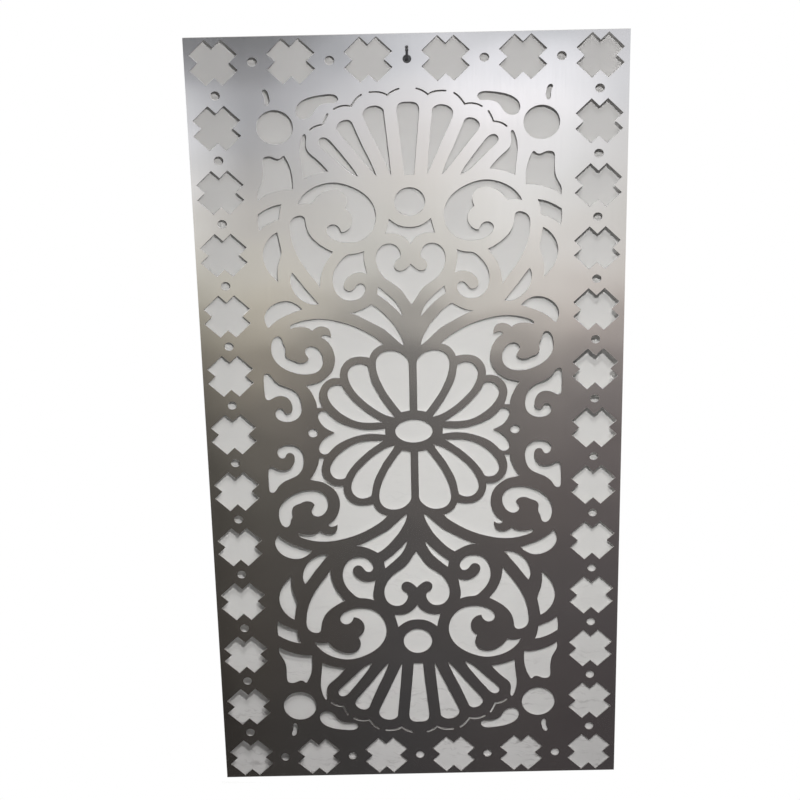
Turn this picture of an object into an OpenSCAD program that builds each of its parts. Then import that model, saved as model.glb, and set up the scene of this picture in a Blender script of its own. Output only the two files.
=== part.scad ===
// Pierced sheet-steel screen that hangs flat on a wall from one hook.
// The frame's origin is on the hook's axis at the wall's face: +X right, +Z up, the room towards -Y.
// Millimetres.

/* [Sheet] */
// Width of the sheet
panel_w = 600; // [560:5:700]
// Height of the sheet
panel_h = 1200; // [1140:5:1400]
// Thickness of the sheet
sheet_t = 1.5; // [1:0.1:3]
// Metal left between the crosses and each side edge
side_margin = 7; // [3:0.5:14]
// Metal left between the crosses and the top and bottom edges
end_margin = 3; // [2:0.5:10]

/* [Border] */
// Crosses along the top and bottom edges
cross_columns = 6; // [4:2:6]
// Crosses along each side
cross_rows = 13; // [9:2:13]
// Length of a cross's two bars
cross_l = 62; // [50:0.5:64]
// Width of a cross's two bars
cross_w = 30.5; // [16:0.5:34]
// Diameter of the dots between the crosses
dot_d = 13; // [8:0.5:18]

/* [Round openings] */
// Width of the oval at the centre
hub_w = 54; // [44:1:58]
// Height of the oval at the centre
hub_h = 38; // [26:1:42]
// Diameter of the eye above each fan
fan_eye_d = 43; // [30:0.5:46]
// Diameter of the eye in each corner
corner_eye_d = 50; // [30:0.5:56]
// Diameter of the dot at each end of the cross axis
side_dot_d = 14; // [8:0.5:18]
// Width of the thin slits that scallop the fan
slit_w = 2.8; // [2:0.1:4]

/* [Hook] */
// Diameter of the hook's wire
wire_d = 3.4; // [2.6:0.1:5]
// Height of the tip above the hook's axis
hook_rise = 17; // [13:0.5:30]
// Radius of the bend along the wire's centre
bend_r = 4; // [3:0.5:6]
// Diameter of the tip's rounded head
tip_d = 4.4; // [3.5:0.1:6.5]
// Straight length between the rounded ends of the tip's head
tip_l = 0.6; // [0.2:0.1:3]
// Diameter of the collar that stops against the wall
collar_d = 11; // [8:0.5:16]
// Thickness of the collar
collar_t = 1.4; // [1:0.1:2.5]
// Outer diameter of the wood-screw thread
thread_d = 4.6; // [3.8:0.1:5]
// Length of the threaded shank in the wall
thread_l = 34; // [24:1:44]
// Distance from one thread ridge to the next
thread_pitch = 2; // [1.4:0.1:3]
// Height of the thread's ridges
thread_depth = 0.6; // [0.4:0.1:0.8]
// Length of the screw's point
thread_point = 5; // [3:0.5:8]

/* [Sleeve] */
// Outer diameter of the sleeve that the sheet hangs on
sleeve_d = 11.5; // [9:0.5:16]
// How far the sleeve stands out in front of the sheet
sleeve_proud = 1.6; // [0.6:0.1:4]
// Rounding of the sleeve's outer rims
sleeve_round = 0.5; // [0.2:0.1:0.8]

/* [Wall plug] */
// Diameter of the plug
plug_d = 8; // [7.5:0.5:12]
// Length of the plug
plug_l = 40; // [34:1:60]
// Width of the slot that lets the plug spread
plug_slot = 1.2; // [0.6:0.1:2]
// Solid ring left at the plug's mouth
plug_ring = 6; // [3:0.5:12]
// Length of the plug's tapered nose
plug_nose = 3; // [1:0.5:5]
// How much narrower the nose is all round at its end
plug_nose_in = 1; // [0.5:0.1:1.2]

/* [Bumpers] */
// Gap between the sheet's back and the wall, filled by the bumpers
wall_gap = 4; // [3:0.5:10]
// Diameter of a bumper where it sticks to the sheet
bumper_d = 14; // [8:0.5:20]
// Rounding of a bumper's outer rim
bumper_round = 2; // [0.5:0.1:2.5]
// Distance of the bumpers from the side edges
bumper_in = 73; // [60:1:80]
// Distance of the bumpers from the top and bottom edges
bumper_up = 83; // [74:1:92]

/* [Fits] */
// Gap all round between the sleeve and the sheet's hole
hole_gap = 0.25; // [0.15:0.05:0.6]
// Gap all round between the wire and the sleeve
bore_gap = 0.08; // [0.02:0.01:0.1]
// Gap at the sleeve's two ends
end_gap = 0.3; // [0.1:0.1:1]
// How far the thread bites into the plug all round
thread_bite = 0.2; // [0.1:0.05:0.3]

/* [Hidden] */
$fn = 64;

// A curve's chords stay this close to it
curve_tol = 0.12;
// Sides of the centre oval
oval_sides = 60;

// The tips of a cross, from its centre
cross_far = (cross_l + cross_w) / 2 / sqrt(2);
// The outer crosses, from the sheet's centre
last_x = panel_w / 2 - side_margin - cross_far;
last_y = panel_h / 2 - end_margin - cross_far;
column_step = 2 * last_x / (cross_columns - 1);
row_step = 2 * last_y / (cross_rows - 1);
columns = [for (i = [0:cross_columns - 1]) -last_x + i * column_step];
rows = [for (i = [0:cross_rows - 1]) -last_y + i * row_step];
column_mids = [for (i = [0:cross_columns - 2]) columns[i] + column_step / 2];
row_mids = [for (i = [0:cross_rows - 2]) rows[i] + row_step / 2];

// The ornament's points were drawn in one quarter, with the outer crosses at these distances,
// and follow them when the sheet changes
drawn_x = 260.5;
drawn_y = 567;
scale_x = last_x / drawn_x;
scale_y = last_y / drawn_y;

// Centres of the round openings as drawn, then on this sheet
drawn_side_dot = 146;
drawn_fan_eye = 359;
drawn_corner_eye_x = 182;
drawn_corner_eye_y = 472.5;
side_dot_x = drawn_side_dot * scale_x;
fan_eye_y = drawn_fan_eye * scale_y;
corner_eye_x = drawn_corner_eye_x * scale_x;
corner_eye_y = drawn_corner_eye_y * scale_y;

// The hook's axis runs through the dot at the middle of the top row
hook_y = last_y;
hook_hole_d = sleeve_d + 2 * hole_gap;
sheet_back = -wall_gap;
sheet_front = sheet_back - sheet_t;
sleeve_back = -collar_t - end_gap;
sleeve_front = sheet_front - sleeve_proud;
bend_start = sleeve_front - end_gap;
tip_y = bend_start - bend_r;
// Centre of the head's lower rounded end
head_low = hook_rise - tip_d / 2 - tip_l;
core_d = thread_d - 2 * thread_depth;
ridge_count = floor((thread_l - thread_point) / thread_pitch);
// A ridge's foot reaches this share of the pitch to each side
ridge_share = 0.3;
ridge_half = thread_pitch * ridge_share;
bore_d = wire_d + 2 * bore_gap;
plug_bore_d = thread_d - 2 * thread_bite;
bumper_x = panel_w / 2 - bumper_in;
bumper_z = panel_h / 2 - bumper_up;

// Openings of the ornament. Each list is one outline in a quarter of the sheet, as [across, along]
// from the sheet's centre. A point that ends in 1 is a corner, and the outline flows through the rest.

petal_long = [[5.5, 33.5, 1], [18, 31, 1], [25, 41], [31.5, 51], [37.7, 61], [43, 72], [47.5, 83],
    [50.8, 94], [52.5, 105], [52, 115], [49, 122], [43, 127.5], [35.5, 130], [27, 130],
    [19.5, 127.7], [12.5, 122.5], [7.5, 116.5], [5.5, 110, 1]];

petal_mid = [[27.5, 22.5, 1], [40, 26.5], [50, 32.5], [60, 40], [70, 49.5], [80, 60.5], [86, 69.5],
    [90.5, 79], [93, 89], [93, 95.5], [91, 101.5], [86.5, 107], [80, 110.3], [72, 110],
    [64.5, 106.5, 1], [63, 101], [61.5, 91], [59, 81], [55, 71], [50, 61], [45, 51], [38.5, 41],
    [32, 31]];

petal_wide = [[45, 15, 1], [52, 14.7], [61, 14.5], [71, 15], [81, 17], [91, 21.3], [100.5, 27.7],
    [109.5, 35.5], [116, 43.5], [120.7, 51.5], [123, 59.5], [122.8, 66], [120, 72], [115.5, 76],
    [110.5, 77.5], [105.5, 77.3], [101.5, 75.5, 1], [99, 70], [93.5, 61], [86, 51], [76.5, 41],
    [66.5, 31.5], [56, 23.5]];

// Half of the forked opening on the cross axis, from the rosette to its point at the side
fork_half = [[41.5, 5.5, 1], [47, 4.6], [54, 3.8], [61, 3.5], [68, 3.8], [76, 5], [84, 7], [92, 9.8],
    [100, 13.2], [108, 17.6], [115, 23], [120.5, 29], [125, 34], [130, 35.8], [134.8, 34],
    [137.6, 30.2], [137.9, 25], [136, 19], [133, 13.5], [129.5, 9.2], [125, 5.5], [120, 2.6],
    [114.7, 0, 1]];

// The wide opening between the rosette, the stem's leaves and the arched scroll
field = [[131, 40.5, 1], [138.7, 40.5, 1], [139.2, 47], [140.3, 52], [142.3, 57], [144.3, 62],
    [147, 67.5], [149.8, 72], [153, 76.5, 1], [146.5, 79], [140, 80.3], [134.5, 82], [130, 84.5],
    [125, 88.3], [120, 92.8], [116, 98.3], [112.8, 105], [111, 112], [110.5, 119], [111.2, 126],
    [113, 133], [115.5, 139], [119, 144.5], [123, 149], [128.3, 152.5, 1], [128, 155.2],
    [125.5, 157], [120.5, 156.8], [115.2, 153.7, 1], [115.5, 159], [117, 164.5], [120, 168],
    [125, 170], [131, 170], [136, 168], [141.5, 163.7, 1], [146, 167.7], [152, 169.7], [159, 170.2],
    [166, 169.5], [172, 167.5, 1], [172.5, 171.5], [169, 174.7], [162, 177.7], [154, 180.2],
    [145, 181.8], [135, 182.5], [125, 182], [115, 180.5], [105, 178], [95, 175], [85, 171],
    [75, 166.3], [65, 160.3], [55, 153.5], [46.5, 146.5], [41, 139.8, 1], [46.5, 138], [51.5, 135],
    [56, 130.5], [59.5, 125], [61.5, 119.5, 1], [66, 120.5], [72, 121.3], [79, 121.3], [86, 120],
    [92, 117], [97, 112.5], [101, 106.5], [103.5, 99.5], [104.3, 88, 1], [110, 88.3], [116, 87.6],
    [121, 85.6], [126, 81.8], [130, 77], [133, 71], [134.8, 64], [134.9, 57], [133.6, 50.5],
    [131.9, 45]];

tailed_scroll = [[160.5, 41], [161.3, 50], [163, 57.5], [165.5, 63], [169.5, 68], [175, 72],
    [182, 75.3], [189, 78.5], [195, 83], [199.5, 88], [203, 93.8], [206, 97], [209.3, 97.8],
    [212.3, 96], [213.3, 91], [213.6, 81], [213.5, 71], [213, 63], [212, 57.5], [209, 54.7],
    [205.5, 55.3], [201.5, 57.8], [196, 60.3], [189.5, 61], [184, 59.8], [179.5, 56.5],
    [176.3, 51.5], [174.5, 46], [174, 40.5], [175, 36], [178, 33], [181.5, 32.2], [184.7, 33.5],
    [186.8, 37], [189, 40.5], [192.5, 41], [196, 39], [198.3, 35], [198.8, 30], [197, 25.5],
    [192.5, 21.3], [186.5, 19.3], [180, 18.8], [173.5, 20.3], [167.8, 23.8], [163.8, 28.5],
    [161.5, 34]];

arched_scroll = [[127.6, 118.5], [128, 111.5], [130.5, 105], [135, 99.8], [141.5, 96.3], [149, 94.9],
    [157, 95], [165, 96.3], [172.5, 99], [180, 102.5], [187, 107.5], [193, 113.5], [197.5, 120.5],
    [200.2, 128], [200.8, 136], [200, 144], [197.7, 151], [194, 155.3], [190, 156.5], [186.5, 154.3],
    [184.5, 150], [183.3, 144.5], [181, 139.5], [180.3, 133.5], [181, 127.5], [179, 122.5],
    [174.5, 119], [169, 117], [164.5, 114.5], [159.5, 113.3], [154.5, 113.8], [150.5, 116],
    [147.8, 120, 1], [150, 124], [152.3, 128.5], [152.5, 132.5], [150, 137], [145.5, 139.3],
    [140, 138.8], [134.5, 135.3], [130.5, 129.5], [128.3, 124]];

stem_leaf = [[12, 138, 1], [16, 140.3], [20, 144], [25, 149.5], [30.5, 155], [36.5, 161],
    [43, 166.3], [50, 170.5], [58, 175.3], [66, 180], [74, 184.5], [82, 188.5], [89, 190.7, 1],
    [82, 191.5], [75.5, 193.5], [69, 196.3], [63.5, 199.5], [57, 203.5, 1], [50.5, 199.3],
    [41.5, 191], [33, 181], [25.5, 171], [20, 161], [15.2, 151]];

heart_leaf = [[12.5, 183.5, 1], [17, 188.5], [22, 194.7], [27.5, 200.3], [33.5, 206.5], [40, 212],
    [48.3, 219, 1], [47.5, 225], [46.5, 230.5, 1], [41, 225.5], [35, 220], [29, 214], [23.5, 208],
    [18.5, 200], [15, 192]];

// Half of the heart over the fan, with its pair of curls
heart_half = [[0, 202, 1], [5.5, 210.5], [11, 220], [17, 227.7], [24, 233.7], [31, 238.7], [37, 244],
    [41.8, 250.5], [45.5, 257.7], [48, 265.5], [48.7, 273.5], [47.5, 282], [44, 289.3],
    [38, 294.5], [30.5, 296.5], [23, 295], [17.3, 290], [14.3, 283.5], [13.8, 277.5], [15.8, 273],
    [20, 270.3], [22.8, 265.5], [22.5, 259.7], [19.5, 256], [15, 254.3], [10, 255.8], [5, 259.7],
    [0, 265, 1]];

// Half of the crescent between the heart and the fan's eye
brow_half = [[0, 295, 1], [4, 301], [9, 305.7], [15.5, 309.5], [22, 311.5], [28, 312],
    [34.7, 311.3, 1], [32.8, 318.5], [31, 325.5], [29.2, 334, 1], [24, 329.5], [18, 325.3],
    [11.5, 322.5], [5.5, 321.3], [0, 321]];

curl_scroll = [[64.2, 228], [65.7, 221.5], [69.7, 215.7], [76, 211.5], [84, 210], [92, 210.8],
    [98.8, 214.3], [104.3, 220.3], [108, 228.5], [109.9, 238], [109.6, 248], [107.3, 257],
    [103.2, 265], [97.5, 272.3], [91, 278.8], [86, 281.4], [79, 281.9], [71.5, 283.3],
    [64.3, 286, 1], [65.4, 279], [65.2, 271.5], [63.8, 263], [61.5, 250.5, 1], [67, 252.3],
    [73.5, 253], [80, 251.5], [86, 248], [91, 243], [94.2, 237], [94.5, 231.5], [92, 227],
    [87.7, 224.7], [83.3, 225.5], [79.8, 229], [77, 233.3], [73, 236], [68.5, 235.7],
    [65.3, 232.5]];

fan_scroll = [[46.8, 338], [48, 329], [50.7, 320.5], [55, 313], [60.5, 307], [67, 302.5],
    [75, 299.7], [84, 298.7], [93, 299], [101, 301.3], [108, 305], [113.5, 310], [116, 316],
    [115.7, 321.5], [112, 325.8], [106.5, 327.2], [101, 325], [97.5, 320.5], [96, 315.3, 1],
    [91, 316], [86.5, 318.7], [82.7, 323.3], [80.3, 329.5], [80, 336], [82, 342], [85.5, 346.8],
    [89.5, 350.3, 1], [87.7, 355.5], [86.5, 361], [87.2, 367], [90.5, 373], [95.5, 377], [102, 379],
    [109, 378.7], [116, 376.5], [122.5, 372.8], [128, 368], [132.5, 362.5], [135.5, 358.5, 1],
    [142, 359.8], [149, 359.3], [155.5, 357.5, 1], [153.5, 363], [149.5, 369], [144, 375],
    [137, 380.3], [129, 384.7], [120, 387.8], [110.5, 389.7], [101, 389.7], [91.5, 387.8],
    [82, 384.3], [72.5, 379.5], [64, 373.5], [56.5, 366], [51, 357], [47.8, 347.5]];

side_crescent = [[154, 197.5, 1], [161, 195.3], [169, 192.3], [177, 189], [184.5, 185], [191, 180.7],
    [197, 175.8], [203.5, 169.5, 1], [206.7, 176], [208.3, 183], [207.5, 189.5], [204.8, 196],
    [200, 202], [194, 206.5], [187, 209.7], [179.5, 211.2], [172, 210.7], [165.5, 208],
    [159.5, 203.8]];

inner_leaf = [[130.5, 205.5, 1], [136.5, 204.5], [143, 205.5], [150, 208.7], [156, 213],
    [161.3, 218.5], [165.3, 225.5], [168, 233.5], [169.5, 242], [168.7, 249.5], [166.3, 255, 1],
    [162, 249.5], [156.5, 241.5], [151, 233], [145, 225], [139, 216.8], [134.5, 210.5]];

outer_leaf = [[186.3, 240.5, 1], [191.5, 246.5], [197.5, 254], [202, 262.5], [205, 272], [206.2, 281.5],
    [205, 290.5], [201.7, 299.5], [196.5, 307.5], [190, 314], [184.7, 317, 1], [183.5, 310],
    [182.3, 302], [180.8, 294.5], [180, 287], [181.5, 279.5], [184.3, 271], [186.3, 261.5],
    [187, 252], [186.5, 245]];

long_leaf = [[128.3, 231.5, 1], [134, 241], [141, 250.5], [147.5, 260.5], [153.5, 271],
    [158.5, 281.5], [162, 291.5], [164.7, 302], [166.3, 314], [166.8, 327], [165, 334],
    [161, 338.5], [155.5, 341], [150, 341.2], [146.3, 338.5], [145, 332.5], [144, 325],
    [141.5, 316.5], [137.5, 309], [132, 302.5], [125.5, 296.5], [118.5, 291.5], [108, 285.5, 1],
    [112.5, 278.5], [118, 270.5], [122.5, 261], [125.7, 251], [127.5, 241]];

side_shield = [[209.3, 319.5, 1], [211, 332], [210.3, 344.5, 1], [203, 349.5], [194, 354.3],
    [185.5, 357.5], [176.8, 359, 1], [179.5, 350.5], [181.5, 336, 1], [189, 333], [197, 329.3],
    [204, 324.8]];

vase = [[160.5, 381, 1], [169, 381], [178, 379.8], [187, 377.3], [195.5, 374], [203, 370.3],
    [209.5, 364.5, 1], [210.2, 371], [209.2, 378], [206, 384.5], [203, 390.5], [201, 398],
    [200.2, 407], [200.2, 417], [200.2, 424], [198.5, 428.5], [194, 430.3], [188.5, 430],
    [184, 428], [180, 426.5], [176, 427], [173.5, 429.5], [171, 430.5], [168.5, 427], [165, 419.5],
    [162.3, 410.5], [160.7, 401], [160.2, 391]];

fan_horn = [[110.5, 406, 1], [120, 404.5], [130, 402], [139, 398.8], [146, 395.5, 1], [146.3, 404],
    [147.3, 414], [148.6, 425], [149.2, 436], [148.3, 446], [146.3, 454], [143.8, 460.5],
    [141.5, 462], [139.8, 459.5], [139.6, 454.5], [140.3, 448.5], [140, 442.5], [138, 437],
    [134, 432], [128.5, 427], [122, 420.5], [116, 413.5]];

base_comma = [[94.3, 512], [95.5, 508], [99.5, 505.8], [106, 505.8], [113, 505.3], [119.5, 502.8],
    [125, 498], [128.7, 492], [133, 486.5], [138.5, 484], [144.5, 483.7], [149.5, 486.3],
    [152.3, 491.5], [152.3, 498], [150, 504], [145, 509], [138, 513], [130, 515.7], [121, 517.5],
    [111.5, 518.7], [103, 518.8], [97, 516.8]];

corner_comma = [[191, 504.5], [193.7, 506.5], [194.3, 511], [194.2, 515.5], [195.7, 520],
    [197, 524], [195.5, 527], [192, 526.8], [189.3, 523.5], [188, 518.5], [187, 513.5],
    [187.5, 508.5]];

// Half of the fan's middle slot, then the three beside it
slot_mid_half = [[7, 399, 1], [9.5, 429], [12.2, 458], [14.3, 480], [15.3, 492], [14.6, 499],
    [12, 503.3], [8, 505.3], [0, 505.8]];
slot_near = [[24.5, 398, 1], [34.5, 421.5], [45, 446], [55, 469], [59.8, 480.5], [61.5, 487.5],
    [60, 494], [55, 498.7], [48.5, 501], [42, 501], [36.5, 498.7], [33, 495, 1], [30.3, 466],
    [27, 430]];
slot_next = [[44.5, 397.5, 1], [51, 404.5], [60, 416], [70, 430], [80, 443], [90, 456],
    [95.5, 463.5], [97.7, 469.5], [96, 475], [91, 479.7], [85, 481.5], [80, 480.8],
    [76.3, 477.5, 1], [70.3, 462], [62, 441], [53, 421]];
slot_far = [[70, 397.5, 1], [76, 400], [82, 404], [90, 411.5], [100, 422], [110, 432.5],
    [118, 440.5], [122.5, 446.5], [122.8, 451.5], [119.5, 455.8], [114, 456.3], [109, 453.5],
    [102, 445], [93.5, 434], [85, 422], [77, 410.5]];

// Middle lines of the scalloped slits
slit_low = [[12, 524.5], [19.5, 521.5], [27.5, 515.5, 1], [34, 519], [42, 520.5], [51.5, 520.3]];
slit_middle = [[63, 517], [69.5, 511.5], [74, 505.5], [77.3, 500.7, 1], [84.5, 501.8], [92.5, 500.7],
    [100.5, 497]];
slit_high = [[109.5, 490], [112.5, 484], [116.3, 474.8, 1], [123, 473.8], [129, 471.3],
    [134, 467.5]];

quarter_openings = [petal_long, petal_mid, petal_wide, field, tailed_scroll, arched_scroll, stem_leaf,
    heart_leaf, curl_scroll, fan_scroll, side_crescent, inner_leaf, outer_leaf, long_leaf,
    side_shield, vase, fan_horn, base_comma, corner_comma, slot_near, slot_next, slot_far];
stem_openings = [heart_half, brow_half, slot_mid_half];
slit_lines = [slit_low, slit_middle, slit_high];

function xy(p) = [p[0], p[1]];
function is_corner(p) = len(p) == 3;
function unit(v) = v / norm(v);
function between(a, b) = acos(max(-1, min(1, a * b)));
function at(list, i) = list[(i + len(list)) % len(list)];

// A point moved to its place on this sheet
function placed(p) = is_corner(p) ? [p[0] * scale_x, p[1] * scale_y, 1] : [p[0] * scale_x, p[1] * scale_y];
function place(list) = [for (p = list) placed(p)];

// The outline with its mirror image joined on, over the upright axis or over the cross axis
function flip_x(p) = is_corner(p) ? [-p[0], p[1], 1] : [-p[0], p[1]];
function flip_y(p) = is_corner(p) ? [p[0], -p[1], 1] : [p[0], -p[1]];
function over_stem(list) = concat(list, [for (i = [len(list) - 1:-1:0]) if (list[i][0] != 0) flip_x(list[i])]);
function over_axis(list) = concat(list, [for (i = [len(list) - 1:-1:0]) if (list[i][1] != 0) flip_y(list[i])]);

// Direction of the circle through a point and its two neighbours
function heading(list, i) =
    let (before = xy(at(list, i)) - xy(at(list, i - 1)), after = xy(at(list, i + 1)) - xy(at(list, i)))
    unit(unit(before) * norm(after) + unit(after) * norm(before));
function reflected(v, chord) = 2 * (v * chord) * chord - v;

// One stretch of an outline as a cubic curve in as many chords as its bend needs.
// At a corner the curve leaves as a plain arc would.
function stretch(list, i) =
    let (
        a = xy(at(list, i)),
        b = xy(at(list, i + 1)),
        reach = norm(b - a),
        chord = unit(b - a),
        free_a = !is_corner(at(list, i)),
        free_b = !is_corner(at(list, i + 1)),
        out = free_a ? heading(list, i) : free_b ? reflected(heading(list, i + 1), chord) : chord,
        in = free_b ? heading(list, i + 1) : reflected(out, chord),
        bend = between(out, chord) + between(chord, in),
        handle = reach / 3 / pow(cos(bend / 4), 2),
        steps = max(1, ceil(sqrt(reach * bend * PI / 180 / 8 / curve_tol)))
    )
    [for (k = [0:steps - 1]) let (s = k / steps, r = 1 - s)
        r * r * r * a + 3 * r * r * s * (a + out * handle) + 3 * r * s * s * (b - in * handle) + s * s * s * b];
function outline(list) = [for (i = [0:len(list) - 1]) each stretch(list, i)];

// Both edges of a slit around its middle line, with a rounded nose at each end
function side_of(line, i, w) =
    let (
        here = xy(line[i]),
        back = i > 0 ? unit(here - xy(line[i - 1])) : unit(xy(line[1]) - here),
        on = i < len(line) - 1 ? unit(xy(line[i + 1]) - here) : back,
        mid = unit(back + on),
        off = w / 2 / (mid * on)
    )
    here + off * [-mid[1], mid[0]];
function edge(line, w) = [for (i = [0:len(line) - 1])
    is_corner(line[i]) || i == 0 || i == len(line) - 1 ? [each side_of(line, i, w), 1] : side_of(line, i, w)];
function reversed(list) = [for (i = [len(list) - 1:-1:0]) list[i]];
function nose(line, w) =
    let (last = len(line) - 1) xy(line[last]) + unit(xy(line[last]) - xy(line[last - 1])) * w / 2;
function slit(line, w) = concat(edge(line, w), [nose(line, w)], reversed(edge(line, -w)), [nose(reversed(line), w)]);

module cross_opening() {
    for (turn = [45, -45]) rotate(turn) square([cross_l, cross_w], center = true);
}

module border_openings() {
    for (x = columns, y = [rows[0], rows[cross_rows - 1]]) translate([x, y]) cross_opening();
    for (x = [columns[0], columns[cross_columns - 1]], i = [1:cross_rows - 2])
        translate([x, rows[i]]) cross_opening();
    for (x = column_mids) translate([x, -last_y]) circle(d = dot_d);
    for (x = column_mids) if (abs(x) > dot_d) translate([x, last_y]) circle(d = dot_d);
    for (x = [-last_x, last_x], y = row_mids) translate([x, y]) circle(d = dot_d);
}

module ornament_openings() {
    polygon([for (i = [0:oval_sides - 1]) let (a = 360 * i / oval_sides) [hub_w / 2 * cos(a), hub_h / 2 * sin(a)]]);
    for (side = [0, 1]) mirror([side, 0]) {
        polygon(outline(place(over_axis(fork_half))));
        translate([side_dot_x, 0]) circle(d = side_dot_d);
    }
    for (end = [0, 1]) mirror([0, end]) {
        for (half = stem_openings) polygon(outline(place(over_stem(half))));
        translate([0, fan_eye_y]) circle(d = fan_eye_d);
        for (side = [0, 1]) mirror([side, 0]) {
            for (shape = quarter_openings) polygon(outline(place(shape)));
            for (line = slit_lines) polygon(outline(slit(place(line), slit_w)));
            translate([corner_eye_x, corner_eye_y]) circle(d = corner_eye_d);
        }
    }
}

module screen_panel() {
    color([0.62, 0.61, 0.59])
    translate([0, sheet_back, -hook_y])
    rotate([90, 0, 0])
    linear_extrude(sheet_t)
    difference() {
        square([panel_w, panel_h], center = true);
        border_openings();
        ornament_openings();
        translate([0, hook_y]) circle(d = hook_hole_d);
    }
}

// A turned shape about the hook's axis: its outline is [radius, distance out from the wall]
module turned(profile) {
    rotate([90, 0, 0]) rotate_extrude() polygon(profile);
}

module hook_sleeve() {
    outer = sleeve_d / 2;
    inner = bore_d / 2;
    color([0.16, 0.16, 0.17])
    turned([[inner, -sleeve_back], [outer - sleeve_round, -sleeve_back],
        [outer, -sleeve_back + sleeve_round], [outer, -sleeve_front - sleeve_round],
        [outer - sleeve_round, -sleeve_front], [inner, -sleeve_front]]);
}

// The screw point, its ridges and the core, from the point out to the collar
thread_profile = concat(
    [[0, -thread_l], [core_d / 2, -thread_l + thread_point]],
    [for (i = [0:ridge_count - 1]) let (z = -thread_l + thread_point + (i + 0.5) * thread_pitch)
        each [[core_d / 2, z - ridge_half], [thread_d / 2, z], [core_d / 2, z + ridge_half]]],
    [[core_d / 2, 0], [collar_d / 2, 0], [collar_d / 2, collar_t], [0, collar_t]]);

module wall_hook() {
    color([0.2, 0.2, 0.21])
    union() {
        turned(thread_profile);
        translate([0, bend_start, 0]) rotate([-90, 0, 0]) cylinder(d = wire_d, h = -bend_start);
        translate([0, bend_start, bend_r]) rotate([0, 90, 0]) rotate([0, 0, -90])
            rotate_extrude(angle = 90) translate([bend_r, 0]) circle(d = wire_d);
        translate([0, tip_y, bend_r]) cylinder(d = wire_d, h = head_low - bend_r);
        translate([0, tip_y, head_low]) sphere(d = tip_d);
        translate([0, tip_y, head_low]) cylinder(d = tip_d, h = tip_l);
        translate([0, tip_y, head_low + tip_l]) sphere(d = tip_d);
    }
}

module wall_plug() {
    color([0.75, 0.74, 0.7])
    difference() {
        turned([[0, -plug_l], [plug_d / 2 - plug_nose_in, -plug_l], [plug_d / 2, -plug_l + plug_nose],
            [plug_d / 2, 0], [0, 0]]);
        rotate([-90, 0, 0]) cylinder(d = plug_bore_d, h = thread_l);
        translate([-plug_slot / 2, plug_ring, -plug_d]) cube([plug_slot, plug_l, 2 * plug_d]);
    }
}

module bumper(side, end) {
    base = bumper_d / 2;
    color([0.2, 0.2, 0.2])
    translate([side * bumper_x, 0, end * bumper_z - hook_y])
    turned(concat([[0, 0], [base - bumper_round, 0]],
        [for (a = [15:15:75]) [base - bumper_round * (1 - sin(a)), bumper_round * (1 - cos(a))]],
        [[base, bumper_round], [base, wall_gap], [0, wall_gap]]));
}

module bumper_top_left() bumper(-1, 1);
module bumper_top_right() bumper(1, 1);
module bumper_bottom_left() bumper(-1, -1);
module bumper_bottom_right() bumper(1, -1);

screen_panel();
hook_sleeve();
wall_hook();
wall_plug();
bumper_top_left();
bumper_top_right();
bumper_bottom_left();
bumper_bottom_right();
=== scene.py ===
import math

import bmesh
import bpy
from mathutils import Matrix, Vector


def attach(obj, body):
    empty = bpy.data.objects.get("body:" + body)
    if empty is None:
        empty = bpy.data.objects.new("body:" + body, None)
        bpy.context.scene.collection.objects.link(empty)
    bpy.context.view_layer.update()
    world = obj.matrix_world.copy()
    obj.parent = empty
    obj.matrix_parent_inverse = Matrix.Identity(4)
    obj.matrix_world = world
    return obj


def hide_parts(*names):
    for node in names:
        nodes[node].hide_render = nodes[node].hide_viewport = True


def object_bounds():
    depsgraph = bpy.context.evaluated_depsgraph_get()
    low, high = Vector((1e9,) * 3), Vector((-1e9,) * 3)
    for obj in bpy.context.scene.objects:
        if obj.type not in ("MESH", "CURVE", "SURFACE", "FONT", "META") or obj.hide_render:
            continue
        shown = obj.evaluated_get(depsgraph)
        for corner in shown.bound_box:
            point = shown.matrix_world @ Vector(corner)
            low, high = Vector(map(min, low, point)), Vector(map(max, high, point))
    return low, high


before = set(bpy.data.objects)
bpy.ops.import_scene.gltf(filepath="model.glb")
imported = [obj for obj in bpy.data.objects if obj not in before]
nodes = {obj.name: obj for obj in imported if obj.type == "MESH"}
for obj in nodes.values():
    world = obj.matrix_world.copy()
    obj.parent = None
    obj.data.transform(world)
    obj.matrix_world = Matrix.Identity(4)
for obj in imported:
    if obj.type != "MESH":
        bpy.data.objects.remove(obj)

cadLow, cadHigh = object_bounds()  # the CAD model's box, before anything is added
print("frame loaded,", len(nodes), "nodes")


class Value:
    # one socket, so that shader maths reads as plain maths
    def __init__(self, tree, socket):
        self.tree, self.socket = tree, socket

    def math(self, operation, *values):
        return self.tree.add("ShaderNodeMath", {"operation": operation}, dict(enumerate(values)))

    def out(self, name):
        return Value(self.tree, self.socket.node.outputs[name])

    def __add__(self, other):
        return self.math("ADD", self, other)

    def __radd__(self, other):
        return self.math("ADD", other, self)

    def __sub__(self, other):
        return self.math("SUBTRACT", self, other)

    def __rsub__(self, other):
        return self.math("SUBTRACT", other, self)

    def __mul__(self, other):
        return self.math("MULTIPLY", self, other)

    def __rmul__(self, other):
        return self.math("MULTIPLY", other, self)

    def __truediv__(self, other):
        return self.math("DIVIDE", self, other)

    def __rtruediv__(self, other):
        return self.math("DIVIDE", other, self)

    def __pow__(self, other):
        return self.math("POWER", self, other)

    def __gt__(self, other):
        return self.math("GREATER_THAN", self, other)

    def __lt__(self, other):
        return self.math("LESS_THAN", self, other)

    def __abs__(self):
        return self.math("ABSOLUTE", self)


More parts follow.
